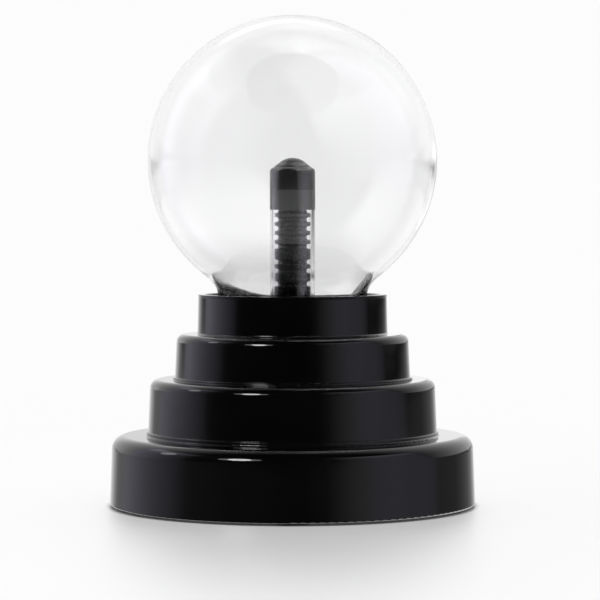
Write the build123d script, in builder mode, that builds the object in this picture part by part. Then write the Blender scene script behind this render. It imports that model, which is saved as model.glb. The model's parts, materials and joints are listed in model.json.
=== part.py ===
"""Battery or adapter powered plasma ball.

A stepped plastic base, a glass globe, an electrode on a glass stem and a drive board.

Millimetres. +Z is up, the origin is at the centre of the base on the surface it stands on,
-Y is the front, and the switch and the power inlet are in the back.
"""

from build123d import *
from math import cos, radians, sin, tan
import os

os.makedirs("parts", exist_ok=True)

# ---------------------------------------------------------------- driving dimensions
BALL_R = 40.0            # outside radius of the globe
BALL_Z = 95.5            # height of the globe's centre
GLASS = 1.2              # globe wall
NECK_R = 20.5            # outside radius of the globe's neck
NECK_END_Z = 45.5

BASE_R = 50.6            # widest radius of the base, at its bottom edge
SHELL_Z = 0.6            # underside of the shell, just clear of the surface
WALL = 2.0
LOW_R, LOW_Z = 49.9, 19.5        # lowest step: outside radius at its top, and its height
MID_R, MID_Z = 39.4, 35.0        # middle step
TOP_R, TOP_Z = 32.05, 47.5       # top step
COLLAR_R, RIM_Z = 26.1, 58.45    # collar round the neck
LOW_RING, LOW_RING_H = 1.05, 1.2     # ring at the foot of the middle step: how far out, how high
MID_RING, MID_RING_H = 1.1, 0.7      # and at the foot of the top step
MID_DRAFT, TOP_DRAFT = 0.6, 0.55     # how much wider each step is at its foot

STEM_R = 6.2             # glass stem tube, outside
STEM_WALL = 0.9
CAP_R = 6.3              # electrode cap, outside
CAP_LOW_Z, CAP_TOP_Z = 81.8, 96.2
CAP_WALL = 0.4
CAP_DOME = 3.0           # height of the cap's dome
CORE_R = 5.0             # ribbed core inside the stem, outside
GROOVE_R, GROOVE_DEPTH = 0.67, 1.05
GROOVE_PITCH = 2.46

COVER_R = 47.8           # bottom cover
COVER_Z, COVER_TOP_Z = 1.0, 3.0
SCREW_RING_R = 41.0      # case screws
FOOT_RING_R = 39.0
FOOT_R = 4.5

CELL_R, CELL_LENGTH = 5.25, 44.5     # AAA cells, four side by side
CELL_PITCH = 11.0
BAY_LENGTH, BAY_WIDTH = 52.0, 44.0
BAY_ROOF_Z = 14.0
BAY_WALL = 1.5

BOARD_Z = 19.0           # underside of the circuit board
BOARD_THICK = 1.6
BOARD_X, BOARD_Y = 48.0, 38.0
POST_X, POST_Y = 21.0, 16.0

PORT_Z = 9.6             # centre height of the switch and the inlet
PORT_FACE = 46.2         # flat inside face that both seat on, distance from the axis
SWITCH_AZIMUTH = 105.0
JACK_AZIMUTH = 75.0
SLIDER_TRAVEL = 3.0

BOARD_TOP_Z = BOARD_Z + BOARD_THICK
BAY_TOP_Z = BAY_ROOF_Z + BAY_WALL
UP = (Align.CENTER, Align.CENTER, Align.MIN)
DOWN = (Align.CENTER, Align.CENTER, Align.MAX)


def round_section(corners):
    """Closed (radius, height) outline on the XZ plane, each corner rounded by its own third value."""
    with BuildSketch(Plane.XZ) as section:
        with BuildLine():
            Polyline(*[(r, z) for r, z, _ in corners], close=True)
        make_face()
        for r, z, rounding in corners:
            if rounding:
                fillet(section.vertices().sort_by_distance((r, z))[0], rounding)
    return section.sketch


def port_plane(azimuth, distance):
    """Upright plane facing outwards at an azimuth, at the height of the switch and the inlet."""
    a = radians(azimuth)
    return Plane(
        origin=(distance * cos(a), distance * sin(a), PORT_Z),
        x_dir=(-sin(a), cos(a), 0),
        z_dir=(cos(a), sin(a), 0),
    )


def port_point(azimuth, distance, across=0.0, up=0.0):
    """World position of a point given in a port's own directions."""
    return port_plane(azimuth, distance).from_local_coords((across, up, 0))


def bend_radii(points):
    """The largest tangent arcs that the runs on either side of each corner leave room for."""
    corners = [Vector(p) for p in points]
    radii = []
    for before, corner, after in zip(corners, corners[1:], corners[2:]):
        turn = (corner - before).get_angle(after - corner)
        run = min((corner - before).length, (after - corner).length)
        radii.append(0.45 * run / tan(radians(turn) / 2))
    return radii


def lead(points, diameter):
    """Insulated wire along straight runs joined by tangent arcs."""
    start, second = Vector(points[0]), Vector(points[1])
    with BuildPart() as wire:
        with BuildLine() as route:
            FilletPolyline(*points, radius=bend_radii(points))
        with BuildSketch(Plane(origin=start, z_dir=second - start)):
            Circle(diameter / 2)
        sweep(path=route.wire())
    return wire.part


def save(piece, name):
    """Label a finished piece and write it as its own file."""
    piece.label = name
    export_step(piece, f"parts/{name}.step")


# ---------------------------------------------------------------- base shell
SHELL_OUTLINE = [
    (BASE_R, SHELL_Z, 0.4),
    (LOW_R, LOW_Z, 3.6),
    (MID_R + LOW_RING, LOW_Z, 0.4),
    (MID_R + LOW_RING, LOW_Z + LOW_RING_H, 0.3),
    (MID_R + MID_DRAFT, LOW_Z + LOW_RING_H, 0.1),
    (MID_R, MID_Z, 2.4),
    (TOP_R + MID_RING, MID_Z, 0.2),
    (TOP_R + MID_RING, MID_Z + MID_RING_H, 0.3),
    (TOP_R + TOP_DRAFT, MID_Z + MID_RING_H, 0.1),
    (TOP_R, TOP_Z, 2.2),
    (COLLAR_R + 0.25, TOP_Z, 0.45),
    (COLLAR_R, RIM_Z - 0.9, 0.4),
    (COLLAR_R + 0.1, RIM_Z, 0.25),
    (COLLAR_R - WALL, RIM_Z, 0.45),
    (COLLAR_R - WALL - 0.2, TOP_Z, 0.4),
    (NECK_R + 0.5, TOP_Z, 0.3),
    (NECK_R + 0.5, TOP_Z - WALL, 0.3),
    (TOP_R - WALL, TOP_Z - WALL, 1.2),
    (TOP_R + TOP_DRAFT / 2 - WALL, MID_Z - WALL, 0.5),
    (MID_R - WALL, MID_Z - WALL, 1.2),
    (MID_R + MID_DRAFT / 2 - WALL, LOW_Z - WALL, 0.5),
    (LOW_R - WALL, LOW_Z - WALL, 2.0),
    (BASE_R - WALL, SHELL_Z, 0.2),
]
BOSS_LOW_Z = 3.8         # the cover's screw seats meet the shell's bosses here
PAD_LOW_Z, PAD_HEIGHT = 3.6, 12.0
SLOT_X, SLOT_Y = 7.6, 3.6
POCKET_FLOOR = 49.0
SWITCH_SCREW_X = 7.5
NOSE_R = 3.0
NOSE_FACE = 49.3

with BuildPart() as base_shell:
    revolve(round_section(SHELL_OUTLINE), axis=Axis.Z)
    with Locations((0, 0, BOSS_LOW_Z)):
        with PolarLocations(SCREW_RING_R, 4, start_angle=45):
            Cylinder(3.2, LOW_Z - WALL - BOSS_LOW_Z + 0.4, align=UP)
    for azimuth, width in ((SWITCH_AZIMUTH, 22.0), (JACK_AZIMUTH, 15.0)):
        with Locations(port_plane(azimuth, PORT_FACE)):
            Box(width, PAD_HEIGHT, 2.4, align=UP)
    with Locations((0, 0, BOSS_LOW_Z)):
        with PolarLocations(SCREW_RING_R, 4, start_angle=45):
            Cylinder(1.3, 9.0, align=UP, mode=Mode.SUBTRACT)
    with Locations(port_plane(SWITCH_AZIMUTH, PORT_FACE)):
        Box(SLOT_X, SLOT_Y, 6.0, align=UP, mode=Mode.SUBTRACT)
        with Locations((-SWITCH_SCREW_X, 0), (SWITCH_SCREW_X, 0)):
            Cylinder(0.95, 2.4, align=UP, mode=Mode.SUBTRACT)
    with BuildSketch(port_plane(SWITCH_AZIMUTH, POCKET_FLOOR)):
        RectangleRounded(13.0, 6.8, 1.0)
    extrude(amount=4.0, mode=Mode.SUBTRACT)
    with Locations(port_plane(JACK_AZIMUTH, PORT_FACE)):
        Cylinder(NOSE_R + 0.1, 6.0, align=UP, mode=Mode.SUBTRACT)
    with Locations(port_plane(JACK_AZIMUTH, NOSE_FACE)):
        Cylinder(5.0, 4.0, align=UP, mode=Mode.SUBTRACT)
save(base_shell.part, "base_shell")

# ---------------------------------------------------------------- bottom cover
DOOR_X, DOOR_Y, DOOR_THICK = 54.6, 46.6, 2.0
REBATE_X, REBATE_Y, REBATE_DEPTH = 55.0, 47.0, 2.2
FRAME_X, FRAME_Y, FRAME_TOP_Z = 59.0, 51.0, 4.4
PIVOT_Y = -(REBATE_Y / 2 - 0.2 - DOOR_THICK / 2)
PIVOT_Z = COVER_Z + DOOR_THICK / 2
TRUNNION_R, TRUNNION_LENGTH = 0.6, 1.2
POST_R = 2.4
TAB_X = BAY_LENGTH / 2 - 0.4

with BuildPart() as bottom_cover:
    with Locations((0, 0, COVER_Z)):
        Cylinder(COVER_R, COVER_TOP_Z - COVER_Z, align=UP)
        with PolarLocations(SCREW_RING_R, 4, start_angle=45):
            Cylinder(3.4, BOSS_LOW_Z - COVER_Z, align=UP)
        Box(FRAME_X, FRAME_Y, FRAME_TOP_Z - COVER_Z, align=UP)
        Box(BAY_LENGTH + 2 * BAY_WALL, BAY_WIDTH + 2 * BAY_WALL, BAY_TOP_Z - COVER_Z, align=UP)
    with Locations((0, 0, BAY_TOP_Z)):
        with GridLocations(2 * POST_X, 2 * POST_Y, 2, 2):
            Cylinder(POST_R, BOARD_Z - BAY_TOP_Z, align=UP)
    with Locations((0, 0, COVER_Z)):
        Box(REBATE_X, REBATE_Y, REBATE_DEPTH, align=UP, mode=Mode.SUBTRACT)
        Box(BAY_LENGTH, BAY_WIDTH, BAY_ROOF_Z - COVER_Z, align=UP, mode=Mode.SUBTRACT)
    # trunnion sockets, finger scoop at the door's free edge, seats for the feet
    with Locations(Plane(origin=(0, PIVOT_Y, PIVOT_Z), z_dir=(1, 0, 0))):
        Cylinder(
            TRUNNION_R + 0.06, REBATE_X + 2 * TRUNNION_LENGTH, mode=Mode.SUBTRACT
        )
    with Locations((0, REBATE_Y / 2, COVER_Z)):
        Cylinder(7.0, 1.0, align=UP, mode=Mode.SUBTRACT)
    with Locations((0, 0, COVER_Z)):
        with PolarLocations(FOOT_RING_R, 4):
            Cylinder(FOOT_R + 0.1, 0.6, align=UP, mode=Mode.SUBTRACT)
        with PolarLocations(SCREW_RING_R, 4, start_angle=45):
            Cylinder(2.8, 1.6, align=UP, mode=Mode.SUBTRACT)
            Cylinder(1.4, 4.0, align=UP, mode=Mode.SUBTRACT)
    # board screw holes and slots for the two solder tabs
    with Locations((0, 0, BOARD_Z)):
        with GridLocations(2 * POST_X, 2 * POST_Y, 2, 2):
            Cylinder(0.9, 3.4, align=DOWN, mode=Mode.SUBTRACT)
    with Locations((-TAB_X, 0, BAY_ROOF_Z)):
        with GridLocations(0, 3 * CELL_PITCH, 1, 2):
            Box(0.8, 2.4, 4.0, mode=Mode.SUBTRACT)
save(bottom_cover.part, "bottom_cover")

# ---------------------------------------------------------------- battery door
LATCH_X, LATCH_Y, LATCH_GAP = 10.0, 7.0, 0.7

with BuildPart() as battery_door:
    with BuildSketch(Plane.XY.offset(COVER_Z)):
        with Locations((0, PIVOT_Y)):
            Rectangle(DOOR_X, DOOR_Y - DOOR_THICK / 2, align=(Align.CENTER, Align.MIN))
    extrude(amount=DOOR_THICK)
    with Locations(Plane(origin=(0, PIVOT_Y, PIVOT_Z), z_dir=(1, 0, 0))):
        Cylinder(DOOR_THICK / 2, DOOR_X)
        Cylinder(TRUNNION_R, DOOR_X + 2 * TRUNNION_LENGTH)
    # slots either side of the flexible latch tongue, and its grip ridges
    door_edge_y = PIVOT_Y + DOOR_Y - DOOR_THICK / 2
    with BuildSketch(Plane.XY.offset(COVER_Z)):
        with Locations((0, door_edge_y - LATCH_Y / 2)):
            with GridLocations(LATCH_X + LATCH_GAP, 0, 2, 1):
                Rectangle(LATCH_GAP, LATCH_Y)
    extrude(amount=DOOR_THICK, mode=Mode.SUBTRACT)
    with Locations((0, door_edge_y - 2.6, COVER_Z)):
        with GridLocations(0, 1.4, 1, 3):
            Box(LATCH_X - 2.0, 0.6, 0.35, align=DOWN)
save(battery_door.part, "battery_door")

# ---------------------------------------------------------------- case screws and feet
with BuildPart() as cover_screws:
    with Locations((0, 0, 1.2)):
        with PolarLocations(SCREW_RING_R, 4, start_angle=45):
            Cylinder(2.5, 1.4, align=UP)
            Cylinder(1.2, 10.4, align=UP)
            Box(3.0, 0.6, 1.6, mode=Mode.SUBTRACT)
            Box(0.6, 3.0, 1.6, mode=Mode.SUBTRACT)
save(cover_screws.part, "cover_screws")

with BuildPart() as rubber_feet:
    with PolarLocations(FOOT_RING_R, 4):
        Cylinder(FOOT_R, COVER_Z + 0.6, align=UP)
    fillet(rubber_feet.edges().filter_by(GeomType.CIRCLE).group_by(Axis.Z)[0], 0.3)
save(rubber_feet.part, "rubber_feet")

# ---------------------------------------------------------------- globe and glass stem
JOIN_Z = 65.0            # the sphere runs into the neck's curve here
NECK_TOP_Z = 56.8        # and the neck is straight below here
INNER_R = BALL_R - GLASS
NECK_BORE_R = NECK_R - GLASS


def ball_radius(radius, z):
    """Radius, at a height, of a sphere about the globe's centre."""
    return (radius**2 - (z - BALL_Z) ** 2) ** 0.5


with BuildPart() as globe:
    with BuildSketch(Plane.XZ):
        with BuildLine():
            RadiusArc((0, BALL_Z + BALL_R), (BALL_R, BALL_Z), BALL_R)
            outer_join = (ball_radius(BALL_R, JOIN_Z), JOIN_Z)
            outer_ball = RadiusArc((BALL_R, BALL_Z), outer_join, BALL_R)
            outer_end = (NECK_R, NECK_TOP_Z)
            Spline(outer_ball @ 1, outer_end, tangents=(outer_ball % 1, (0, -1)))
            inner_end = (NECK_BORE_R, NECK_TOP_Z)
            Polyline(outer_end, (NECK_R, NECK_END_Z), (NECK_BORE_R, NECK_END_Z), inner_end)
            inner_join = (ball_radius(INNER_R, JOIN_Z), JOIN_Z)
            inner_ball = RadiusArc((INNER_R, BALL_Z), inner_join, INNER_R)
            Spline(inner_end, inner_ball @ 1, tangents=((0, 1), (inner_ball % 1) * -1))
            RadiusArc((0, BALL_Z + INNER_R), (INNER_R, BALL_Z), INNER_R)
            Line((0, BALL_Z + INNER_R), (0, BALL_Z + BALL_R))
        make_face()
    revolve(axis=Axis.Z)
save(globe.part, "globe")

BORE_R = STEM_R - STEM_WALL
SPIGOT_R = CAP_R - CAP_WALL
FLARE_R = NECK_BORE_R


def domed(radius, low_z, top_z, shoulder):
    """Half outline of a round-shouldered, slightly domed plug of the given radius."""
    sphere = (radius**2 + CAP_DOME**2) / (2 * CAP_DOME)
    with BuildSketch(Plane.XZ) as outline:
        with BuildLine():
            RadiusArc((0, top_z), (radius, top_z - CAP_DOME), sphere)
            Polyline((radius, top_z - CAP_DOME), (radius, low_z), (0, low_z), (0, top_z))
        make_face()
        fillet(outline.vertices().sort_by_distance((radius, top_z - CAP_DOME))[0], shoulder)
    return outline.sketch


FLARE_OUTLINE = [
    (BORE_R, 60.0, 0),
    (STEM_R, 60.0, 0),
    (STEM_R, 48.6, 5.0),
    (FLARE_R, NECK_END_Z, 0),
    (NECK_R, NECK_END_Z, 0),
    (NECK_R, NECK_END_Z - STEM_WALL, 0.3),
    (FLARE_R, NECK_END_Z - STEM_WALL, 0),
    (BORE_R, 47.9, 5.6),
]
TIP_X = 13.0
TUBE_LOW_Z = 60.0

with BuildPart() as stem_tube:
    revolve(domed(SPIGOT_R, TUBE_LOW_Z, CAP_TOP_Z - CAP_WALL, 1.0), axis=Axis.Z)
    with Locations((0, 0, TUBE_LOW_Z)):
        Cylinder(STEM_R, CAP_LOW_Z - TUBE_LOW_Z, align=UP)
    bore = domed(BORE_R, TUBE_LOW_Z, CAP_TOP_Z - CAP_WALL - STEM_WALL, 1.0)
    revolve(bore, axis=Axis.Z, mode=Mode.SUBTRACT)
    revolve(round_section(FLARE_OUTLINE), axis=Axis.Z)
    # sealed-off pumping stub under the flare
    with Locations((TIP_X, 0, 46.4)):
        Cylinder(1.6, 4.4, align=DOWN)
    fillet(stem_tube.faces().filter_by(GeomType.PLANE).sort_by(Axis.Z)[0].edges(), 1.2)
save(stem_tube.part, "stem_tube")

with BuildPart() as electrode_cap:
    revolve(domed(CAP_R, CAP_LOW_Z, CAP_TOP_Z, 1.2), axis=Axis.Z)
    revolve(
        domed(SPIGOT_R, CAP_LOW_Z, CAP_TOP_Z - CAP_WALL, 1.0), axis=Axis.Z, mode=Mode.SUBTRACT
    )
save(electrode_cap.part, "electrode_cap")

# ---------------------------------------------------------------- ribbed core, its contact and plug
CORE_LOW_Z, CORE_TOP_Z = 50.0, 91.0
PLUG_LOW_Z, PLUG_TOP_Z = 44.0, 50.0
HV_LEAD = 1.8
UPPER_GROOVE_Z, UPPER_GROOVES = 81.55, 5
LOWER_GROOVE_Z, LOWER_GROOVES = 67.4, 3

groove_heights = [UPPER_GROOVE_Z - i * GROOVE_PITCH for i in range(UPPER_GROOVES)]
groove_heights += [LOWER_GROOVE_Z - i * GROOVE_PITCH for i in range(LOWER_GROOVES)]

with BuildPart() as ribbed_core:
    with BuildSketch(Plane.XZ) as core_section:
        with Locations((HV_LEAD / 2 + 0.1, CORE_LOW_Z)):
            Rectangle(
                CORE_R - HV_LEAD / 2 - 0.1, CORE_TOP_Z - CORE_LOW_Z, align=(Align.MIN, Align.MIN)
            )
        with Locations(*[(CORE_R - GROOVE_DEPTH + GROOVE_R, z) for z in groove_heights]):
            Circle(GROOVE_R, mode=Mode.SUBTRACT)
        fillet(core_section.vertices().group_by(Axis.X)[-1], 0.22)
    revolve(axis=Axis.Z)
save(ribbed_core.part, "ribbed_core")

with BuildPart() as contact_button:
    with Locations((0, 0, CORE_TOP_Z)):
        Cylinder(4.0, 1.2, align=UP)
        Cylinder(1.6, 2.6, align=UP)
    fillet(contact_button.edges().filter_by(GeomType.CIRCLE).group_by(Axis.Z)[-1], 0.5)
save(contact_button.part, "contact_button")

with BuildPart() as stem_plug:
    with Locations((0, 0, PLUG_LOW_Z)):
        Cylinder(BORE_R - 0.1, PLUG_TOP_Z - PLUG_LOW_Z, align=UP)
        Cylinder(6.6, 1.4, align=UP)
        Cylinder(HV_LEAD / 2 + 0.1, PLUG_TOP_Z - PLUG_LOW_Z, align=UP, mode=Mode.SUBTRACT)
    top_edges = stem_plug.edges().filter_by(GeomType.CIRCLE).group_by(Axis.Z)[-1]
    fillet(top_edges.sort_by(SortBy.RADIUS)[-1], 0.4)
save(stem_plug.part, "stem_plug")

with BuildPart() as neck_seal:
    revolve(
        round_section(
            [
                (NECK_R, TOP_Z, 0),
                (NECK_R + 2.5, TOP_Z, 0.2),
                (NECK_R + 2.5, TOP_Z + 2.0, 0.4),
                (NECK_R, TOP_Z + 3.2, 0),
            ]
        ),
        axis=Axis.Z,
    )
save(neck_seal.part, "neck_seal")

# ---------------------------------------------------------------- transformer
CORE_X = -8.0
CORE_LOW_Z = 21.6
CORE_SIZE = (25.0, 7.0, 15.0)
CORE_LIMB = 3.5
WINDOW_X, WINDOW_Z = 5.5, CORE_SIZE[2] - 2 * CORE_LIMB
BOBBIN_LOW_Z = CORE_LOW_Z + CORE_LIMB + 0.1
SPOOL_R, FLANGE_R = 5.7, 8.8
PRIMARY_LOW_Z, PRIMARY_TOP_Z = BOBBIN_LOW_Z + 1.2, BOBBIN_LOW_Z + 3.6
SECONDARY_LOW_Z, SECONDARY_TOP_Z = BOBBIN_LOW_Z + 4.2, BOBBIN_LOW_Z + 6.9
BOBBIN_TOP_Z = BOBBIN_LOW_Z + 7.8
SECONDARY_R = 8.4

with BuildPart() as transformer_core:
    with Locations((CORE_X, 0, CORE_LOW_Z)):
        Box(*CORE_SIZE, align=UP)
    window_offset = CORE_LIMB + WINDOW_X / 2
    for side in (-1, 1):
        with Locations((CORE_X + side * window_offset, 0, CORE_LOW_Z + CORE_LIMB)):
            Box(WINDOW_X, CORE_SIZE[1], WINDOW_Z, align=UP, mode=Mode.SUBTRACT)
    chamfer(transformer_core.edges().filter_by(Axis.Y).group_by(Axis.Z)[-1], 0.6)
save(transformer_core.part, "transformer_core")

with BuildPart() as transformer_bobbin:
    with Locations((CORE_X, 0, BOBBIN_LOW_Z)):
        Cylinder(SPOOL_R, BOBBIN_TOP_Z - BOBBIN_LOW_Z, align=UP)
        Cylinder(FLANGE_R, PRIMARY_LOW_Z - BOBBIN_LOW_Z, align=UP)
        Box(12.0, 20.0, PRIMARY_LOW_Z - BOBBIN_LOW_Z, align=UP)
    with Locations((CORE_X, 0, PRIMARY_TOP_Z)):
        Cylinder(FLANGE_R, SECONDARY_LOW_Z - PRIMARY_TOP_Z, align=UP)
    with Locations((CORE_X, 0, SECONDARY_TOP_Z)):
        Cylinder(FLANGE_R, BOBBIN_TOP_Z - SECONDARY_TOP_Z, align=UP)
    with Locations((CORE_X, 0, BOARD_TOP_Z)):
        with GridLocations(0, 17.4, 1, 2):
            Box(12.0, 2.4, BOBBIN_LOW_Z - BOARD_TOP_Z, align=UP)
    with Locations((CORE_X, 0, BOBBIN_LOW_Z)):
        Box(2 * CORE_LIMB + 0.3, CORE_SIZE[1] + 0.3, WINDOW_Z, align=UP, mode=Mode.SUBTRACT)
save(transformer_bobbin.part, "transformer_bobbin")

for name, outside, low, top in (
    ("primary_winding", 7.6, PRIMARY_LOW_Z, PRIMARY_TOP_Z),
    ("secondary_winding", SECONDARY_R, SECONDARY_LOW_Z, SECONDARY_TOP_Z),
):
    with BuildPart() as winding:
        with Locations((CORE_X, 0, low)):
            Cylinder(outside, top - low, align=UP)
            Cylinder(SPOOL_R, top - low, align=UP, mode=Mode.SUBTRACT)
    save(winding.part, name)

hv_route = [
    (CORE_X, -SECONDARY_R - 0.25, (SECONDARY_LOW_Z + SECONDARY_TOP_Z) / 2),
    (CORE_X, -13.0, 31.8),
    (CORE_X + 0.8, -12.6, 36.6),
    (0, 0, 38.8),
    (0, 0, PLUG_TOP_Z),
]
with BuildPart() as hv_lead:
    add(lead(hv_route, HV_LEAD))
    with Locations((0, 0, PLUG_TOP_Z)):
        Cylinder(HV_LEAD / 2, CORE_TOP_Z - PLUG_TOP_Z, align=UP)
save(hv_lead.part, "hv_lead")

# ---------------------------------------------------------------- circuit board
with BuildPart() as circuit_board:
    with BuildSketch(Plane.XY.offset(BOARD_Z)):
        RectangleRounded(BOARD_X, BOARD_Y, 2.0)
        with GridLocations(2 * POST_X, 2 * POST_Y, 2, 2):
            Circle(1.1, mode=Mode.SUBTRACT)
    extrude(amount=BOARD_THICK)
save(circuit_board.part, "circuit_board")

with BuildPart() as board_screws:
    with Locations((0, 0, BOARD_TOP_Z)):
        with GridLocations(2 * POST_X, 2 * POST_Y, 2, 2):
            Cylinder(1.9, 1.2, align=UP)
            Cylinder(0.8, 4.6, align=DOWN)
            with Locations((0, 0, 1.2)):
                Box(2.2, 0.45, 1.4, mode=Mode.SUBTRACT)
                Box(0.45, 2.2, 1.4, mode=Mode.SUBTRACT)
save(board_screws.part, "board_screws")

SINK_X, SINK_HEIGHT, SINK_Y = 12.5, 17.4, 16.0
TAB_HOLE_Z = 35.3

with BuildPart() as heat_sink:
    with Locations((SINK_X + 0.75, 0, BOARD_TOP_Z)):
        Box(1.5, SINK_Y, SINK_HEIGHT, align=UP)
    with Locations((SINK_X + 5.0, 0, BOARD_TOP_Z)):
        with GridLocations(0, (SINK_Y - 1.2) / 3, 1, 4):
            Box(7.6, 1.2, SINK_HEIGHT, align=UP)
    with Locations(Plane(origin=(SINK_X, 0, TAB_HOLE_Z), z_dir=(1, 0, 0))):
        Cylinder(1.5, 6.0, mode=Mode.SUBTRACT)
save(heat_sink.part, "heat_sink")

with BuildPart() as power_transistor:
    with Locations((SINK_X - 0.65, 0, BOARD_TOP_Z + 3.0)):
        Box(1.3, 10.0, 14.4, align=UP)
    with Locations((SINK_X - 2.25, 0, BOARD_TOP_Z + 3.0)):
        Box(4.5, 10.0, 9.0, align=UP)
    with Locations((SINK_X - 2.4, 0, BOARD_TOP_Z)):
        with GridLocations(0, 2.54, 1, 3):
            Box(0.5, 0.8, 3.2, align=UP)
    with Locations(Plane(origin=(SINK_X, 0, TAB_HOLE_Z), z_dir=(1, 0, 0))):
        Cylinder(1.8, 6.0, mode=Mode.SUBTRACT)
save(power_transistor.part, "power_transistor")

with BuildPart() as heat_sink_screw:
    with Locations(Plane(origin=(SINK_X - 1.3, 0, TAB_HOLE_Z), z_dir=(1, 0, 0))):
        Cylinder(2.4, 1.4, align=DOWN)
        Cylinder(1.4, 5.0, align=UP)
        with Locations((0, 0, -1.4)):
            Box(3.0, 0.6, 1.4, mode=Mode.SUBTRACT)
save(heat_sink_screw.part, "heat_sink_screw")

with BuildPart() as electrolytic_capacitor:
    with Locations((9.5, 13.6, BOARD_TOP_Z)):
        Cylinder(4.0, 11.5, align=UP)
    fillet(electrolytic_capacitor.edges().filter_by(GeomType.CIRCLE), 0.4)
    with Locations((9.5, 13.6, BOARD_TOP_Z + 11.5)):
        Box(5.0, 0.3, 0.5, mode=Mode.SUBTRACT)
        Box(0.3, 5.0, 0.5, mode=Mode.SUBTRACT)
save(electrolytic_capacitor.part, "electrolytic_capacitor")

with BuildPart() as film_capacitor:
    with Locations((9.0, -13.4, BOARD_TOP_Z + 0.5)):
        Box(10.0, 5.0, 8.0, align=UP)
    fillet(film_capacitor.edges(), 0.6)
    with Locations((9.0, -13.4, BOARD_TOP_Z)):
        with GridLocations(7.5, 0, 2, 1):
            Cylinder(0.35, 1.4, align=UP)
save(film_capacitor.part, "film_capacitor")

with BuildPart() as resistors:
    for y in (11.9, 14.3, 16.7):
        with Locations(Plane(origin=(-14.0, y, BOARD_TOP_Z + 1.4), z_dir=(1, 0, 0))):
            Cylinder(0.85, 6.0)
            with Locations((0, 0, -2.5), (0, 0, 2.5)):
                Cylinder(1.1, 1.4)
            Cylinder(0.25, 9.0)
        with Locations((-14.0, y, BOARD_TOP_Z)):
            with GridLocations(9.0, 0, 2, 1):
                Cylinder(0.25, 1.6, align=UP)
save(resistors.part, "resistors")

with BuildPart() as timer_chip:
    with Locations((-10.0, -14.2, BOARD_TOP_Z + 0.5)):
        Box(9.6, 6.3, 3.3, align=UP)
    with Locations((-10.0, -14.2, BOARD_TOP_Z)):
        with GridLocations(2.54, 6.9, 4, 2):
            Box(0.6, 0.7, 2.2, align=UP)
    with Locations((-10.0 - 4.8, -14.2, BOARD_TOP_Z + 3.8)):
        Cylinder(0.9, 0.6, mode=Mode.SUBTRACT)
save(timer_chip.part, "timer_chip")

# ---------------------------------------------------------------- battery contacts
CELL_Z = COVER_Z + DOOR_THICK + 0.3 + CELL_R
PLATE, PLATE_WIDTH, DOUBLE_WIDTH = 0.4, 9.0, 20.0
PLATE_FACE = BAY_LENGTH / 2 - PLATE
SPRING_LENGTH = 5.6

with BuildPart() as contact_plates:
    # single plates and one double plate on the left, two double plates on the right
    for side, y, width in (
        (-1, -1.5 * CELL_PITCH, PLATE_WIDTH),
        (-1, 0, DOUBLE_WIDTH),
        (-1, 1.5 * CELL_PITCH, PLATE_WIDTH),
        (1, -CELL_PITCH, DOUBLE_WIDTH),
        (1, CELL_PITCH, DOUBLE_WIDTH),
    ):
        with Locations((side * (BAY_LENGTH / 2 - PLATE / 2), y, CELL_Z)):
            Box(PLATE, width, PLATE_WIDTH)
    with Locations((-BAY_LENGTH / 2 + PLATE / 2, 0, CELL_Z + 4.4)):
        with GridLocations(0, 3 * CELL_PITCH, 1, 2):
            Box(PLATE, 2.0, 4.6, align=UP)
save(contact_plates.part, "contact_plates")


def coil(radius, wire, pitch, height, start, direction):
    """Helical spring of round wire that runs from a start point along a direction."""
    with BuildPart() as spring:
        with BuildLine():
            turns = Helix(pitch, height, radius - wire / 2, center=start, direction=direction)
        with BuildSketch(Plane(origin=turns @ 0, z_dir=turns % 0)):
            Circle(wire / 2)
        sweep(path=turns, is_frenet=True)
    return spring.part


spring_solids = []
for side, cell in ((1, -1.5), (-1, -0.5), (1, 0.5), (-1, 1.5)):
    seat = (side * (PLATE_FACE - 0.3), cell * CELL_PITCH, CELL_Z)
    spring_solids.append(coil(3.2, 0.5, 1.5, SPRING_LENGTH - 0.6, seat, (-side, 0, 0)))
battery_springs = Compound(children=spring_solids)
save(battery_springs, "battery_springs")

TAB_TOP_Z = CELL_Z + 9.0
for name, side in (("battery_lead_red", -1), ("battery_lead_black", 1)):
    y = side * 1.5 * CELL_PITCH
    route = [
        (-BAY_LENGTH / 2 + PLATE / 2, y, TAB_TOP_Z),
        (-BAY_LENGTH / 2 + PLATE / 2, y, 25.0),
        (-22.5, side * 9.0, 25.5),
        (-22.5, side * 9.0, BOARD_TOP_Z),
    ]
    save(lead(route, 1.2), name)

# ---------------------------------------------------------------- slide switch
FRAME_FACE = PORT_FACE - 0.5
BODY_REAR = 40.0
FLANGE_X, FLANGE_Y = 6.0, 4.0
REST_X = -SLIDER_TRAVEL / 2
KNOB_FACE = 50.7

with BuildPart() as switch_frame:
    with BuildSketch(port_plane(SWITCH_AZIMUTH, FRAME_FACE)):
        RectangleRounded(19.0, 7.2, 1.2)
        Rectangle(SLOT_X - 0.2, SLOT_Y - 0.2, mode=Mode.SUBTRACT)
        with Locations((-SWITCH_SCREW_X, 0), (SWITCH_SCREW_X, 0)):
            Circle(1.05, mode=Mode.SUBTRACT)
    extrude(amount=PORT_FACE - FRAME_FACE)
save(switch_frame.part, "switch_frame")

with BuildPart() as switch_body:
    with Locations(port_plane(SWITCH_AZIMUTH, BODY_REAR)):
        Box(11.2, 6.6, FRAME_FACE - BODY_REAR, align=UP)
    with Locations(port_plane(SWITCH_AZIMUTH, FRAME_FACE)):
        Box(FLANGE_X + SLIDER_TRAVEL + 0.4, FLANGE_Y + 0.4, 1.8, align=DOWN, mode=Mode.SUBTRACT)
save(switch_body.part, "switch_body")

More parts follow.
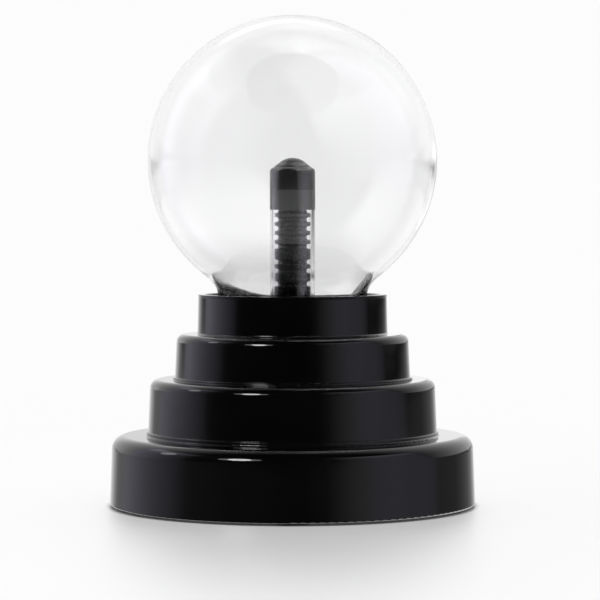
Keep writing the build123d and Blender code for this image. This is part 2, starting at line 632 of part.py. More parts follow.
with BuildPart() as switch_slider:
    with Locations(port_plane(SWITCH_AZIMUTH, FRAME_FACE - 0.2)):
        with Locations((REST_X, 0, 0)):
            Box(FLANGE_X, FLANGE_Y, 1.3, align=DOWN)
            Box(4.0, 3.0, KNOB_FACE - FRAME_FACE + 0.2, align=UP)
    knob_end = switch_slider.faces().sort_by_distance(port_point(SWITCH_AZIMUTH, 60.0))[0]
    fillet(knob_end.edges(), 0.35)
    with Locations(port_plane(SWITCH_AZIMUTH, KNOB_FACE)):
        with Locations((REST_X - 1.0, 0, 0), (REST_X, 0, 0), (REST_X + 1.0, 0, 0)):
            Box(0.4, 3.0, 0.6, mode=Mode.SUBTRACT)
save(switch_slider.part, "switch_slider")

with BuildPart() as switch_terminals:
    with Locations(port_plane(SWITCH_AZIMUTH, BODY_REAR)):
        with GridLocations(2.5, 0, 3, 1):
            Box(1.0, 0.4, 3.0, align=DOWN)
save(switch_terminals.part, "switch_terminals")

with BuildPart() as switch_screws:
    with Locations(port_plane(SWITCH_AZIMUTH, FRAME_FACE)):
        with GridLocations(2 * SWITCH_SCREW_X, 0, 2, 1):
            Cylinder(1.75, 1.1, align=DOWN)
            Cylinder(0.85, 2.6, align=UP)
            with Locations((0, 0, -1.1)):
                Box(2.2, 0.5, 1.2, mode=Mode.SUBTRACT)
save(switch_screws.part, "switch_screws")

switch_lead_solids = []
for across, pad_x in ((0.0, -4.0), (2.5, -6.5)):
    route = [
        port_point(SWITCH_AZIMUTH, BODY_REAR - 3.0, across),
        port_point(SWITCH_AZIMUTH, 30.0, across),
        port_point(SWITCH_AZIMUTH, 28.5, across, 15.0),
        (pad_x, 17.2, 25.4),
        (pad_x, 17.2, BOARD_TOP_Z),
    ]
    switch_lead_solids.append(lead(route, 1.2))
save(Compound(children=switch_lead_solids), "switch_leads")

# ---------------------------------------------------------------- power inlet
JACK_REAR = 37.5
BORE_END = 40.5
PIN_R = 0.65
PIN_END = 48.3
SOCKET_R = 1.85

with BuildPart() as dc_jack:
    with Locations(port_plane(JACK_AZIMUTH, JACK_REAR)):
        Box(9.0, 7.2, PORT_FACE - JACK_REAR, align=UP)
        Cylinder(NOSE_R, NOSE_FACE - JACK_REAR, align=UP)
    nose = dc_jack.faces().sort_by_distance(port_point(JACK_AZIMUTH, 60.0))[0]
    fillet(nose.edges(), 0.3)
    with Locations(port_plane(JACK_AZIMUTH, BORE_END)):
        Cylinder(SOCKET_R, 12.0, align=UP, mode=Mode.SUBTRACT)
save(dc_jack.part, "dc_jack")

with BuildPart() as dc_jack_pin:
    with Locations(port_plane(JACK_AZIMUTH, BORE_END)):
        Cylinder(PIN_R, PIN_END - BORE_END, align=UP)
    pin_end = dc_jack_pin.faces().sort_by_distance(port_point(JACK_AZIMUTH, 60.0))[0]
    fillet(pin_end.edges(), 0.3)
save(dc_jack_pin.part, "dc_jack_pin")

with BuildPart() as dc_jack_terminals:
    with Locations(port_plane(JACK_AZIMUTH, JACK_REAR)):
        with GridLocations(5.0, 0, 2, 1):
            Box(1.4, 0.4, 3.0, align=DOWN)
save(dc_jack_terminals.part, "dc_jack_terminals")

for name, across, pad_x in (("jack_lead_red", 2.5, 0.6), ("jack_lead_black", -2.5, 3.2)):
    route = [
        port_point(JACK_AZIMUTH, JACK_REAR - 3.0, across),
        port_point(JACK_AZIMUTH, 29.0, across),
        port_point(JACK_AZIMUTH, 28.0, across, 15.0),
        (pad_x, 17.2, 25.4),
        (pad_x, 17.2, BOARD_TOP_Z),
    ]
    save(lead(route, 1.2), name)
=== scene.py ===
"""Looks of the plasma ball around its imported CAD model.

Glass, plastics and metals, then the floor, the light and the camera.
"""

import json
import math

import bmesh
import bpy
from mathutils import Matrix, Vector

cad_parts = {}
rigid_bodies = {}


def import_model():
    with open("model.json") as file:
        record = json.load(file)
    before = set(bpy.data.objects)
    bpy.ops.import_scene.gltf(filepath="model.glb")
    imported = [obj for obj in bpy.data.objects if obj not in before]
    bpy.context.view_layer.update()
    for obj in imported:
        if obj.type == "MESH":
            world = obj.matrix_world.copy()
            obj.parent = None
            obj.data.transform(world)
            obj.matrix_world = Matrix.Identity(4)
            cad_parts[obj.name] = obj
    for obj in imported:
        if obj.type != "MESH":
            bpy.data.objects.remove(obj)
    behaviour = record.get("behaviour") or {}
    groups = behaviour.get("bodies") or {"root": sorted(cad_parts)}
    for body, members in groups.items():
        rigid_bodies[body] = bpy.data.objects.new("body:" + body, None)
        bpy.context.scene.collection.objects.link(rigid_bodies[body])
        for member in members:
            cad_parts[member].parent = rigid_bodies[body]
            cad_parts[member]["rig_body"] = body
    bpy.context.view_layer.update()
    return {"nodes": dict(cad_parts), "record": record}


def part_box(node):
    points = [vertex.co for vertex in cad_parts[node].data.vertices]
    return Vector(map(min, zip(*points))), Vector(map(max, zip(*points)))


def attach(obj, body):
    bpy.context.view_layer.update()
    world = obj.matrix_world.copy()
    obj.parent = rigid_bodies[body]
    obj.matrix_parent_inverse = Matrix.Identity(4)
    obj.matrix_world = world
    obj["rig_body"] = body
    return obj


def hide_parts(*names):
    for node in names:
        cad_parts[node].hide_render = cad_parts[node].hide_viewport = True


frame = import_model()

MM = 0.001
NODES = frame["nodes"]
SLOT_OF = {row["node"]: row["material_slot"] for row in frame["record"]["subparts"]}

# ---------------------------------------------------------------- driving dimensions, metres
BALL_R, BALL_Z = 40.0 * MM, 95.5 * MM
GLASS = 1.2 * MM
NECK_R, NECK_LOW_Z, NECK_TOP_Z, JOIN_Z = 20.5 * MM, 45.5 * MM, 56.8 * MM, 65.0 * MM
NECK_PULL = 1.27         # how strongly the neck's curve holds its end directions
CAP_R, CAP_WALL = 6.3 * MM, 0.4 * MM
CAP_LOW_Z, CAP_TOP_Z = 81.8 * MM, 96.2 * MM
FOOT_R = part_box("base_shell")[1][0]

# where a surface's colour changes: (the change starts here, it is complete here)
CAP_TONE_EDGE = (87.45 * MM, 87.1 * MM)      # the cap is lighter below this height and darker above it
CORE_PAINTED_SHADE = (65.5 * MM, 70.0 * MM)      # the core is painted dark as in the collar's shade below this height, and painted lighter above it
BASE_REFLECTION_EDGE = (58.9 * MM, 58.2 * MM)      # the glass carries a painted dark reflection of the base below this height, at the collar
LOW_SHADE_EDGE = (77.0 * MM, 65.0 * MM)       # the glass carries faint painted shade below this height

BASE_REFLECTION_WALL = (18.5 * MM, 19.0 * MM)      # the painted reflection is on glass further from the axis than this
LEFT_REFLECTION_RISE, RIGHT_REFLECTION_RISE = 3.4 * MM, 4.8 * MM     # how far the painted reflection climbs on each side

WHITE = 0.975            # what the backdrop and the floor show in the picture
CLOTH = 0.8              # share of light that a matte white surface gives back


# ---------------------------------------------------------------- shader helpers
def put(tree, kind, inputs=None, **settings):
    """Add a shader node, set its properties, then set or link its inputs."""
    made = tree.nodes.new(kind)
    for key, value in settings.items():
        setattr(made, key, value)
    for key, value in (inputs or {}).items():
        if isinstance(value, bpy.types.NodeSocket):
            tree.links.new(value, made.inputs[key])
        else:
            made.inputs[key].default_value = value
    return made


def maths(tree, operation, a, b=0.0):
    """Result of one operation on two numbers."""
    return put(tree, "ShaderNodeMath", {0: a, 1: b}, operation=operation).outputs[0]


def ramp(tree, factor, stops):
    """Colour ramp from (position, colour) pairs."""
    made = put(tree, "ShaderNodeValToRGB", {"Fac": factor})
    elements = made.color_ramp.elements
    while len(elements) < len(stops):
        elements.new(0.5)
    for element, (position, colour) in zip(elements, stops):
        element.position = position
    for element, (position, colour) in zip(elements, stops):
        element.color = (*colour, 1.0)
    return made.outputs["Color"]


def step(tree, value, low, high, to_low=0.0, to_high=1.0):
    """Smooth step of a value from low to high."""
    made = put(
        tree,
        "ShaderNodeMapRange",
        {"Value": value, "From Min": low, "From Max": high, "To Min": to_low, "To Max": to_high},
        interpolation_type="SMOOTHSTEP",
    )
    return made.outputs["Result"]


def lerp(tree, value, low, high):
    """A 0 to 1 value spread between two numbers."""
    made = put(tree, "ShaderNodeMapRange", {"Value": value, "To Min": low, "To Max": high})
    return made.outputs["Result"]


def mix(tree, factor, first, second, **settings):
    """Two colours mixed by a factor."""
    inputs = {0: factor, 6: first, 7: second}
    return put(tree, "ShaderNodeMix", inputs, data_type="RGBA", **settings).outputs[2]


def scaled(tree, colour, factor):
    """A colour times a number."""
    inputs = {0: colour, "Scale": factor}
    return put(tree, "ShaderNodeVectorMath", inputs, operation="SCALE").outputs[0]


def split(tree, vector):
    """A vector's X, Y and Z."""
    parts = put(tree, "ShaderNodeSeparateXYZ", {"Vector": vector}).outputs
    return parts["X"], parts["Y"], parts["Z"]


def two_tone(tree, factor, low, high, ends=(0.3, 0.7)):
    """Ramp between two colours, flat outside its ends."""
    return ramp(tree, factor, [(ends[0], low), (ends[1], high)])


def blank(name):
    """New node material: its tree, its surface shader, and object coordinates in metres."""
    made = bpy.data.materials.new(name)
    made.use_nodes = True
    tree = made.node_tree
    tree.nodes.clear()
    shader = put(tree, "ShaderNodeBsdfPrincipled")
    put(tree, "ShaderNodeOutputMaterial", {"Surface": shader.outputs[0]})
    place = put(tree, "ShaderNodeTexCoord").outputs["Object"]
    return made, tree, shader, place


def noise(tree, place, scale, detail=3.0, stretch=None):
    """Fractal noise, its scale in features per metre, optionally stretched along an axis."""
    if stretch:
        place = put(tree, "ShaderNodeMapping", {"Vector": place, "Scale": stretch}).outputs[0]
    inputs = {"Vector": place, "Scale": scale, "Detail": detail}
    return put(tree, "ShaderNodeTexNoise", inputs).outputs[0]


def pattern_height(tree, place, pattern, scale, stretch):
    """Height of the surface's small texture, 0 to 1."""
    if pattern == "cells":
        inputs = {"Vector": place, "Scale": scale}
        made = put(tree, "ShaderNodeTexVoronoi", inputs, feature="SMOOTH_F1")
        return made.outputs["Distance"]
    if pattern == "turns":
        made = put(
            tree,
            "ShaderNodeTexWave",
            {"Vector": place, "Scale": scale, "Distortion": 0.6, "Detail": 1.0},
            bands_direction="Z",
        )
        return made.outputs["Fac"]
    return noise(tree, place, scale, 4.0, stretch)


def finish(tree, shader, colour, rough, bump):
    """Give the surface shader its colour, its roughness and its small bump."""
    tree.links.new(colour, shader.inputs["Base Color"])
    tree.links.new(rough, shader.inputs["Roughness"])
    tree.links.new(put(tree, "ShaderNodeBump", bump).outputs[0], shader.inputs["Normal"])


def surface(
    name, dark, light, rough, metal=0.0,
    pattern="grain", scale=900.0, depth=0.02, stretch=None, patch=160.0, **sockets
):
    """Opaque material: two colours mixed in patches, roughness between two values, small bump."""
    made, tree, shader, place = blank(name)
    broad = noise(tree, place, patch, 3.0)
    fine = noise(tree, place, scale, 4.0, stretch)
    mixed = maths(
        tree, "ADD", maths(tree, "MULTIPLY", broad, 0.6), maths(tree, "MULTIPLY", fine, 0.4)
    )
    height = pattern_height(tree, place, pattern, scale, stretch)
    bump = {"Strength": 0.6, "Distance": depth * MM, "Height": height}
    colour = two_tone(tree, mixed, dark, light, (0.32, 0.68))
    finish(tree, shader, colour, lerp(tree, fine, *rough), bump)
    shader.inputs["Metallic"].default_value = metal
    for key, value in sockets.items():
        shader.inputs[key.replace("_", " ")].default_value = value
    return made


# ---------------------------------------------------------------- materials, by the record's slots
def gloss_black():
    """Polished black moulding: faint flow waviness, and a little fine dust in the gloss."""
    made, tree, shader, place = blank("black_gloss")
    flow = noise(tree, place, 55.0, 2.0)
    fine = noise(tree, place, 2600.0, 3.0)
    dust = put(tree, "ShaderNodeTexVoronoi", {"Vector": place, "Scale": 260.0, "Randomness": 1.0})
    speck = step(tree, dust.outputs["Distance"], 0.10, 0.04)
    rough = maths(tree, "ADD", lerp(tree, fine, 0.035, 0.06), maths(tree, "MULTIPLY", speck, 0.03))
    colour = two_tone(tree, flow, (0.0008, 0.0008, 0.0010), (0.0014, 0.0014, 0.0017))
    finish(tree, shader, colour, rough, {"Strength": 0.2, "Distance": 0.01 * MM, "Height": flow})
    shader.inputs["IOR"].default_value = 1.5
    return made


def clear_glass():
    """Blown glass: hardly any colour, a slow waviness, faint painted shade low in the ball, and a
    painted dark reflection of the base over the collar near the neck.
    """
    made, tree, shader, place = blank("clear_glass")
    slow = noise(tree, place, 38.0, 1.0)
    clean = noise(tree, place, 420.0, 3.0)
    colour = two_tone(tree, slow, (0.966, 0.968, 0.968), (0.974, 0.975, 0.975))
    x, y, z = split(tree, place)
    square = maths(tree, "ADD", maths(tree, "POWER", x, 2.0), maths(tree, "POWER", y, 2.0))
    radius = maths(tree, "SQRT", square)
    across = maths(tree, "DIVIDE", x, radius)

    # faint painted shade low in the ball, more of it on the left
    share = step(tree, across, 0.35, -0.25, 0.05, 0.12)
    low_shade = maths(tree, "MULTIPLY", step(tree, z, *LOW_SHADE_EDGE), share)
    low_shaded = mix(tree, low_shade, colour, (0.0, 0.0, 0.0, 1.0))

    # a streaky painted dark reflection of the base over the collar, in a long wedge on the left and
    # a short steep one on the right
    left = step(tree, across, -0.35, -1.0, 0.0, LEFT_REFLECTION_RISE)
    right = step(tree, across, 0.84, 1.0, 0.0, RIGHT_REFLECTION_RISE)
    wedges = maths(tree, "ADD", left, right)
    ripple = maths(tree, "MULTIPLY", maths(tree, "SUBTRACT", slow, 0.5), 1.2 * MM)
    over = maths(tree, "SUBTRACT", maths(tree, "SUBTRACT", z, wedges), ripple)
    on_wall = step(tree, radius, *BASE_REFLECTION_WALL)
    painted_reflection = maths(tree, "MULTIPLY", step(tree, over, *BASE_REFLECTION_EDGE), on_wall)
    streak = noise(tree, place, 260.0, 3.0, (1.0, 1.0, 3.0))
    dark = two_tone(tree, streak, (0.05, 0.05, 0.052), (0.36, 0.36, 0.365), (0.35, 0.65))

    bump = {"Strength": 0.25, "Distance": 0.12 * MM, "Height": slow}
    # the glass colour carries the painted low shade and the painted reflection of the base
    finish(tree, shader, mix(tree, painted_reflection, low_shaded, dark), lerp(tree, clean, 0.0, 0.012), bump)
    shader.inputs["IOR"].default_value = 1.47
    shader.inputs["Transmission Weight"].default_value = 1.0
    return made


def graphite():
    """Cap's dark coating, darker over its upper two thirds and lighter below."""
    made, tree, shader, place = blank("graphite")
    lighter_below = step(tree, split(tree, place)[2], *CAP_TONE_EDGE)
    grain = noise(tree, place, 1500.0, 4.0)
    dark = two_tone(tree, grain, (0.007, 0.007, 0.007), (0.011, 0.011, 0.011))
    light = two_tone(tree, grain, (0.050, 0.050, 0.051), (0.062, 0.062, 0.063))
    bump = {"Strength": 0.3, "Distance": 0.01 * MM, "Height": grain}
    finish(tree, shader, mix(tree, lighter_below, dark, light), lerp(tree, grain, 0.12, 0.18), bump)
    shader.inputs["IOR"].default_value = 1.75
    return made


def core_rubber():
    """Rubber of the ribbed core, painted lighter above and painted dark below as shade from the
    collar.
    """
    made, tree, shader, place = blank("core_rubber")
    # painted light above and painted collar shade below
    painted_light_above = step(tree, split(tree, place)[2], *CORE_PAINTED_SHADE)
    grain = noise(tree, place, 1800.0, 4.0)
    dark = two_tone(tree, grain, (0.001, 0.001, 0.001), (0.002, 0.002, 0.002))
    light = two_tone(tree, grain, (0.042, 0.044, 0.043), (0.060, 0.063, 0.061))
    bump = {"Strength": 0.4, "Distance": 0.02 * MM, "Height": grain}
    finish(tree, shader, mix(tree, painted_light_above, dark, light), lerp(tree, grain, 0.22, 0.32), bump)
    return made


OPAQUE = {
    "black_matte": dict(
        dark=(0.010, 0.010, 0.011), light=(0.017, 0.017, 0.018), rough=(0.42, 0.56),
        pattern="cells", scale=1500.0, depth=0.05,
    ),
    "steel": dict(
        dark=(0.42, 0.42, 0.41), light=(0.60, 0.60, 0.59), rough=(0.22, 0.38), metal=1.0,
        scale=1800.0, depth=0.008, stretch=(1.0, 1.0, 0.1),
    ),
    "foot_rubber": dict(
        dark=(0.012, 0.012, 0.012), light=(0.024, 0.024, 0.023), rough=(0.70, 0.85),
        scale=2400.0, depth=0.04,
    ),
    "copper_wire": dict(
        dark=(0.42, 0.13, 0.05), light=(0.66, 0.26, 0.11), rough=(0.22, 0.34), metal=1.0,
        pattern="turns", scale=900.0, depth=0.10,
    ),
    "plug_nylon": dict(
        dark=(0.62, 0.60, 0.54), light=(0.74, 0.72, 0.66), rough=(0.35, 0.48), depth=0.02,
        Subsurface_Weight=0.2, Subsurface_Scale=0.001,
    ),
    "wire_red": dict(
        dark=(0.36, 0.012, 0.010), light=(0.50, 0.022, 0.016), rough=(0.34, 0.46), depth=0.01
    ),
    "wire_black": dict(
        dark=(0.008, 0.008, 0.008), light=(0.018, 0.018, 0.018), rough=(0.34, 0.46), depth=0.01
    ),
    "wire_yellow": dict(
        dark=(0.62, 0.42, 0.02), light=(0.80, 0.56, 0.04), rough=(0.34, 0.46), depth=0.01
    ),
    "silicone": dict(
        dark=(0.48, 0.48, 0.46), light=(0.66, 0.66, 0.64), rough=(0.34, 0.52),
        depth=0.05, scale=700.0, Subsurface_Weight=0.3, Subsurface_Scale=0.002,
    ),
    "board": dict(
        dark=(0.20, 0.11, 0.035), light=(0.30, 0.17, 0.060), rough=(0.40, 0.58), depth=0.02,
        scale=2200.0, stretch=(1.0, 0.25, 1.0),
    ),
    "ferrite": dict(
        dark=(0.028, 0.028, 0.030), light=(0.060, 0.060, 0.062), rough=(0.52, 0.68),
        depth=0.04, scale=1600.0,
    ),
    "winding_tape": dict(
        dark=(0.52, 0.33, 0.05), light=(0.68, 0.46, 0.09), rough=(0.22, 0.34), depth=0.03,
        pattern="turns", scale=260.0,
    ),
    "epoxy_black": dict(
        dark=(0.014, 0.014, 0.015), light=(0.028, 0.028, 0.029), rough=(0.44, 0.60),
        depth=0.03, scale=2600.0,
    ),
    "aluminium": dict(
        dark=(0.55, 0.56, 0.57), light=(0.74, 0.75, 0.76), rough=(0.28, 0.42), metal=1.0,
        scale=2400.0, depth=0.010, stretch=(1.0, 1.0, 0.06),
    ),
    "cap_sleeve": dict(
        dark=(0.010, 0.022, 0.075), light=(0.016, 0.034, 0.105), rough=(0.26, 0.36), depth=0.01
    ),
    "film_red": dict(
        dark=(0.30, 0.030, 0.012), light=(0.42, 0.050, 0.020), rough=(0.20, 0.30),
        depth=0.02, scale=600.0,
    ),
    "resistor_body": dict(
        dark=(0.44, 0.30, 0.16), light=(0.58, 0.42, 0.25), rough=(0.38, 0.50), depth=0.02
    ),
}
MATERIALS = {name: surface(name, **settings) for name, settings in OPAQUE.items()}
MATERIALS["black_gloss"] = gloss_black()
MATERIALS["clear_glass"] = clear_glass()
MATERIALS["graphite"] = graphite()
MATERIALS["core_rubber"] = core_rubber()


# ---------------------------------------------------------------- lathed pieces
POLE_R = 1e-7            # a smaller radius than this is a point on the axis


def arc(radius, centre_z, start, end, count):
    """Points on a circle about the axis' point at centre_z, angles in degrees above level."""
    angles = [math.radians(start + (end - start) * i / count) for i in range(count + 1)]
    return [(radius * math.cos(a), centre_z + radius * math.sin(a)) for a in angles]


def flow(start, start_way, end, end_way, count):
    """Cubic from start to end with given end directions, without its two end points."""
    rows = list(zip(start, start_way, end, end_way))
    points = []
    for i in range(1, count):
        t = i / count
        weights = (2 * t**3 - 3 * t**2 + 1, t**3 - 2 * t**2 + t, -2 * t**3 + 3 * t**2, t**3 - t**2)
        points.append(tuple(sum(w * v for w, v in zip(weights, row)) for row in rows))
    return points


def lathe(name, outline, turns=256, sharp=38.0):
    """Solid of revolution about Z from a closed (radius, height) outline; radius 0 makes a pole."""
    angles = [2 * math.pi * k / turns for k in range(turns)]
    mesh = bmesh.new()
    rings = []
    for radius, height in outline:
        if radius < POLE_R:
            rings.append([mesh.verts.new((0, 0, height))])
            continue
        corners = [(radius * math.cos(a), radius * math.sin(a), height) for a in angles]
        rings.append([mesh.verts.new(corner) for corner in corners])
    for low, high in zip(rings, rings[1:] + rings[:1]):
        if len(low) == len(high) == 1:
            continue
        for k in range(turns):
            ahead = k + 1
            corners = [
                low[k % len(low)], low[ahead % len(low)],
                high[ahead % len(high)], high[k % len(high)],
            ]
            mesh.faces.new(list(dict.fromkeys(corners)))
    bmesh.ops.recalc_face_normals(mesh, faces=mesh.faces)
    data = bpy.data.meshes.new(name)
    mesh.to_mesh(data)
    mesh.free()
    data.shade_smooth()
    data.set_sharp_from_angle(angle=math.radians(sharp))
    made = bpy.data.objects.new(name, data)
    bpy.context.scene.collection.objects.link(made)
    return made


def stand_for(piece, node_name):
    """A new piece takes a CAD node's place, its body and its material."""
    slot = SLOT_OF[node_name]
    piece.data.materials.append(MATERIALS[slot])
    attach(piece, NODES[node_name]["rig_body"])
    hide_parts(node_name)
    return piece


def ball_outline(radius, neck_radius):
    """Half outline of one face of the globe, from its top to the end of its neck."""
    join = math.degrees(math.asin((JOIN_Z - BALL_Z) / radius))
    points = arc(radius, BALL_Z, 90.0, join, 150)
    points[0] = (0.0, BALL_Z + radius)
    reach, join_z = points[-1]
    length = math.hypot(reach - neck_radius, join_z - NECK_TOP_Z) * NECK_PULL
    slope = math.radians(join)
    start_way = (length * math.sin(slope), -length * math.cos(slope))
    points += flow((reach, join_z), start_way, (neck_radius, NECK_TOP_Z), (0.0, -length), 24)
    return points + [(neck_radius, NECK_TOP_Z), (neck_radius, NECK_LOW_Z)]


# the cap's half outline: a dome, a hollow at its foot, a sloping shoulder, then the straight side
CAP_OUTLINE = [
    (0.0, 96.2), (1.3, 96.05), (2.54, 95.6), (3.7, 94.83), (4.55, 93.98),
    (5.05, 93.6), (5.6, 93.36), (6.02, 93.1), (6.24, 92.72), (6.3, 92.2),
]


def smooth(points, count=6):
    """Curve through the given points."""
    padded = [points[0]] + points + [points[-1]]
    curve = []
    for before, start, end, after in zip(padded, padded[1:], padded[2:], padded[3:]):
        way_in = [(e - b) / 2 for b, e in zip(before, end)]
        way_out = [(a - s) / 2 for s, a in zip(start, after)]
        curve += [start] + flow(start, way_in, end, way_out, count)
    return curve + [points[-1]]


def domed(inset=0.0):
    """Half outline of the cap's outside, or of its inside with the wall as the inset."""
    curve = smooth([(r * MM, z * MM) for r, z in CAP_OUTLINE])
    inner = []
    for before, (r, z), after in zip(curve, curve[1:], curve[2:]):
        away = math.hypot(after[0] - before[0], after[1] - before[1])
        turn_r, turn_z = (after[1] - before[1]) / away, (after[0] - before[0]) / away
        inner.append((r + inset * turn_r, z - inset * turn_z))
    return [(0.0, CAP_TOP_Z - inset)] + inner + [(CAP_R - inset, CAP_LOW_Z)]


outside, inside = ball_outline(BALL_R, NECK_R), ball_outline(BALL_R - GLASS, NECK_R - GLASS)
globe = lathe("glass_globe", outside + inside[::-1])
stand_for(globe, "globe")

cap = lathe("coated_cap", domed() + domed(CAP_WALL)[::-1], turns=160)
stand_for(cap, "electrode_cap")

# ---------------------------------------------------------------- carried-over CAD nodes
for node_name, node in NODES.items():
    if node.hide_render:
        continue
    node.data.materials.clear()
    node.data.materials.append(MATERIALS[SLOT_OF[node_name]])

# ---------------------------------------------------------------- floor
FLOOR_HALF = 1.5         # metres
POLISH_FADE = (0.30, 0.09)      # the polish fades out between these distances from the axis, metres


def floor_material():
    """Lit white sheet with a soft polish: it shows the object faintly and stays white around it."""
    made = bpy.data.materials.new("floor_sheet")
    made.use_nodes = True
    tree = made.node_tree
    tree.nodes.clear()
    place = put(tree, "ShaderNodeTexCoord").outputs["Object"]
    grain = noise(tree, place, 300.0, 3.0)
    reach = put(tree, "ShaderNodeVectorMath", {0: place}, operation="LENGTH").outputs["Value"]

    # painted contact shadow: the sheet gives no light under the object's foot
    clear = step(tree, reach, FOOT_R - 0.6 * MM, FOOT_R + 1.7 * MM, 0.0, WHITE)
    lit = put(tree, "ShaderNodeEmission", {"Color": (1.0, 1.0, 1.0, 1.0), "Strength": clear})
    cloth = put(tree, "ShaderNodeBsdfDiffuse", {"Color": (CLOTH, CLOTH, CLOTH, 1.0)})
    body = put(tree, "ShaderNodeMixShader", {0: 0.25, 1: lit.outputs[0], 2: cloth.outputs[0]})
    shiny = {"Color": (1.0, 1.0, 1.0, 1.0), "Roughness": lerp(tree, grain, 0.36, 0.42)}
    polish = put(tree, "ShaderNodeBsdfGlossy", shiny)
    fresnel = put(tree, "ShaderNodeFresnel", {"IOR": 1.36})
    shine = maths(tree, "MULTIPLY", fresnel.outputs[0], step(tree, reach, *POLISH_FADE))
    both = put(tree, "ShaderNodeMixShader", {0: shine, 1: body.outputs[0], 2: polish.outputs[0]})
    put(tree, "ShaderNodeOutputMaterial", {"Surface": both.outputs[0]})
    return made


sheet = bmesh.new()
bmesh.ops.create_grid(sheet, x_segments=24, y_segments=24, size=FLOOR_HALF)
sheet_data = bpy.data.meshes.new("floor")
sheet.to_mesh(sheet_data)
sheet.free()
sheet_data.materials.append(floor_material())
floor = bpy.data.objects.new("floor", sheet_data)
bpy.context.scene.collection.objects.link(floor)
floor.visible_glossy = floor.visible_transmission = False       # the world stands in for it there

# ---------------------------------------------------------------- light
# How bright the studio is round the object, as gloss shows it: (degrees from the front, at and
# above level, a little below level).
STUDIO = [
    (-176, 1.05, 1.12), (-165, 1.07, 1.13), (-158, 0.92, 1.00), (-152, 0.73, 0.82),
    (-144, 0.42, 0.46), (-138, 0.14, 0.48), (-134, 0.26, 0.55), (-128, 0.70, 0.66),
    (-120, 0.88, 0.69), (-111, 0.79, 0.65), (-98, 0.62, 0.52), (-84, 0.37, 0.36),
    (-77, 0.24, 0.24), (-70, 0.06, 0.12), (-63, 0.02, 0.08), (-40, 0.010, 0.05),
    (8, 0.004, 0.02), (21, 0.015, 0.05), (28, 0.06, 0.14), (42, 0.30, 0.34),
    (56, 0.49, 0.48), (68, 0.51, 0.50), (80, 0.43, 0.43), (90, 0.37, 0.39),
    (98, 0.25, 0.32), (105, 0.07, 0.19), (124, 0.03, 0.15), (144, 0.09, 0.28),
    (153, 0.16, 0.46), (160, 0.45, 0.75), (167, 0.85, 0.90), (176, 1.00, 0.95),
]
# the two soft boxes' arcs, degrees from the front, and the faint colour of their light
SOFT_BOXES, BOX_TINT = [(-132, -74), (50, 100)], (1.0, 0.97, 1.14)


def up(degrees):
    """A direction's Z at this elevation."""
    return math.sin(math.radians(degrees))


def studio_ring(tree, azimuth, column):
    """The studio table's colour round the object, from one of its columns."""
    stops = []
    for entry in STUDIO:
        in_box = any(start < entry[0] < end for start, end in SOFT_BOXES)
        tint = BOX_TINT if in_box else (1.0, 1.0, 1.0)
        stops.append((entry[0] / 360 + 0.5, tuple(entry[column] * t for t in tint)))
    return ramp(tree, azimuth, stops)


def side_of(tree, way, normal, soft):
    """1 on the positive side of a plane through the object, 0 on the other, soft in between."""
    inputs = {0: way, 1: normal}
    dot = put(tree, "ShaderNodeVectorMath", inputs, operation="DOT_PRODUCT").outputs["Value"]
    return step(tree, dot, -soft, soft)


def box_light(tree, way, level, inside):
    """The soft boxes as gloss shows them: from outside, or taller and burnt out through glass."""
    _, behind, rise = split(tree, way)
    # the boxes reach up to 40 degrees, with a brighter top edge, and stop a little below level
    roof = step(tree, rise, 0.72, 0.66)
    edge = maths(tree, "MULTIPLY", step(tree, rise, 0.50, 0.62), roof)
    reach = maths(tree, "MULTIPLY", roof, step(tree, rise, -0.30, -0.12))
    outer = scaled(tree, level, maths(tree, "ADD", reach, maths(tree, "MULTIPLY", edge, 0.8)))

    # each tall box lies between two planes; they burn out except near the backdrop
    back_right, front_right = (0.801, 0.387, 0.217), (0.657, -0.437, -0.021)
    back_left, front_left = (-0.162, 0.710, 0.159), (-0.723, 0.174, -0.493)
    right, left = (
        maths(tree, "MULTIPLY", side_of(tree, way, rear, 0.09), side_of(tree, way, fore, 0.2))
        for rear, fore in ((back_right, front_right), (back_left, front_left))
    )
    tall = step(tree, rise, up(-4.0), up(30.0))
    high = mix(tree, tall, level, maths(tree, "MAXIMUM", right, left))
    inner = scaled(tree, high, step(tree, behind, 0.45, 0.75, 2.0, 0.95))
    return mix(tree, inside, outer, inner)


def sheet_light(tree, way, inside):
    """The backdrop and the floor as gloss shows them; the floor is brighter inside the glass."""
    x, behind, rise = split(tree, way)
    # the backdrop is white behind, uneven from left to right near level, and fades overhead
    above = step(tree, rise, up(-1.0), up(2.5))
    side = lerp(tree, step(tree, x, -0.07, 0.07), 0.85, 1.30)
    centre = step(tree, maths(tree, "ABSOLUTE", x), 0.15, 0.10)
    near = maths(tree, "MULTIPLY", step(tree, rise, 0.13, 0.09), centre)
    uneven = {0: near, 2: 1.0, 3: side}
    bright = put(tree, "ShaderNodeMix", uneven, data_type="FLOAT").outputs[0]
    wide = maths(tree, "MULTIPLY", step(tree, behind, -0.25, 0.80), above)
    back = maths(tree, "MULTIPLY", wide, bright)

    # the floor behind starts lower from outside, and the floor in front shows only through glass
    low_edge = maths(tree, "ADD", rise, lerp(tree, inside, 0.10, -0.04))
    far_share = step(tree, behind, 0.2, 0.8)
    under_back = maths(tree, "MULTIPLY", step(tree, low_edge, -0.02, -0.10), far_share)
    near_share = maths(tree, "MULTIPLY", inside, 0.8)
    under_front = maths(tree, "MULTIPLY", step(tree, rise, -0.14, -0.94), near_share)
    return maths(tree, "MAXIMUM", back, maths(tree, "MAXIMUM", under_back, under_front))


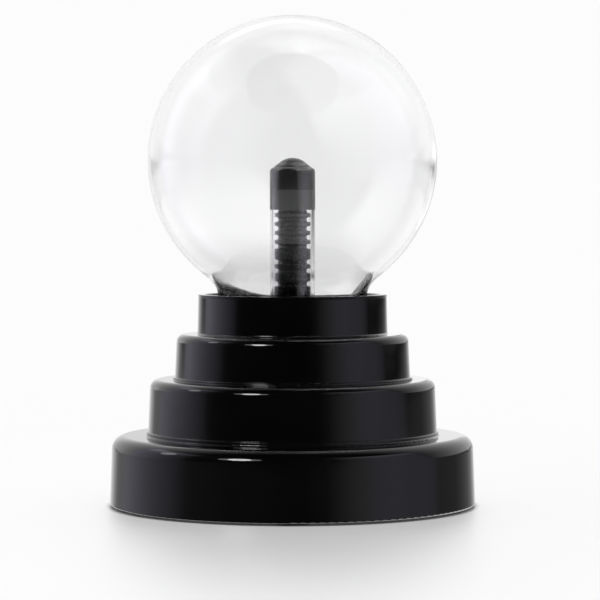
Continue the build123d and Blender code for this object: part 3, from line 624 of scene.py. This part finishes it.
def studio_world():
    """White to the eye and to matte surfaces; boxes, a dark front and a backdrop in the gloss."""
    world = bpy.data.worlds.new("studio")
    bpy.context.scene.world = world
    world.use_nodes = True
    tree = world.node_tree
    tree.nodes.clear()
    way = put(tree, "ShaderNodeTexCoord").outputs["Generated"]
    path = put(tree, "ShaderNodeLightPath").outputs
    x, behind, rise = split(tree, way)
    azimuth = maths(tree, "ARCTAN2", x, maths(tree, "MULTIPLY", behind, -1.0))
    turn = maths(tree, "ADD", maths(tree, "DIVIDE", azimuth, 2 * math.pi), 0.5)
    low = step(tree, rise, up(-0.5), up(-2.0))
    level = mix(tree, low, studio_ring(tree, turn, 1), studio_ring(tree, turn, 2))

    inside = maths(tree, "GREATER_THAN", path["Transmission Depth"], 0.5)
    boxes = box_light(tree, way, level, inside)
    gloss = mix(tree, 1.0, boxes, sheet_light(tree, way, inside), blend_type="LIGHTEN")

    matte = maths(tree, "GREATER_THAN", path["Diffuse Depth"], 0.5)
    glossy = maths(tree, "GREATER_THAN", path["Glossy Depth"], 0.5)
    mirrored = maths(tree, "MULTIPLY", glossy, maths(tree, "SUBTRACT", 1.0, matte))
    seen = mix(tree, mirrored, lerp(tree, matte, WHITE, WHITE / CLOTH), gloss)
    shine = put(tree, "ShaderNodeBackground", {"Color": seen, "Strength": 1.0})
    put(tree, "ShaderNodeOutputWorld", {"Surface": shine.outputs[0]})
    world.cycles.sampling_method = "NONE"


studio_world()

# small soft lamps: (degrees from the front, rise, watts, radius)
SHOULDER_LAMPS = [      # they draw the short bright lines on the shoulders
    (-33, 25, 3.0, 0.075), (-41, 25, 0.35, 0.060), (-25, 25, 0.35, 0.060), (-91, 32, 0.35, 0.060)
]
RIM_LAMPS = [(150, 5, 0.22, 0.10)]      # this one fills the globe's right rim
LAMP_DISTANCE = 0.6


def add_lamps(name, rows, receivers):
    """Soft point lamps that light only the receivers, and that no camera sees."""
    lit_only = bpy.data.collections.new(name + "s_light")
    for lit in receivers:
        lit_only.objects.link(lit)
    for turn, rise, watts, size in rows:
        lamp_data = bpy.data.lights.new(name, "POINT")
        lamp_data.energy = watts
        lamp_data.shadow_soft_size = size
        lamp = bpy.data.objects.new(name, lamp_data)
        bpy.context.scene.collection.objects.link(lamp)
        turn, rise = math.radians(turn), math.radians(rise)
        ahead = LAMP_DISTANCE * math.cos(rise)
        height = LAMP_DISTANCE * math.sin(rise)
        lamp.location = (ahead * math.sin(turn), -ahead * math.cos(turn), height)
        lamp.visible_camera = lamp.visible_transmission = False
        lamp.light_linking.receiver_collection = lit_only


add_lamps("shoulder_lamp", SHOULDER_LAMPS, (NODES["base_shell"], cap))
add_lamps("rim_lamp", RIM_LAMPS, (globe,))

# ---------------------------------------------------------------- camera
CAMERA_PLACE, CAMERA_TILT = (2.08 * MM, -700 * MM, 77.4 * MM), 1.683     # degrees below level
camera_data = bpy.data.cameras.new("camera")
camera_data.lens, camera_data.sensor_width = 151.7, 36.0
camera = bpy.data.objects.new("camera", camera_data)
bpy.context.scene.collection.objects.link(camera)
camera.location = CAMERA_PLACE
camera.rotation_euler = (math.radians(90 - CAMERA_TILT), 0, 0)
bpy.context.scene.camera = camera
bpy.context.scene.view_settings.view_transform = "Standard"
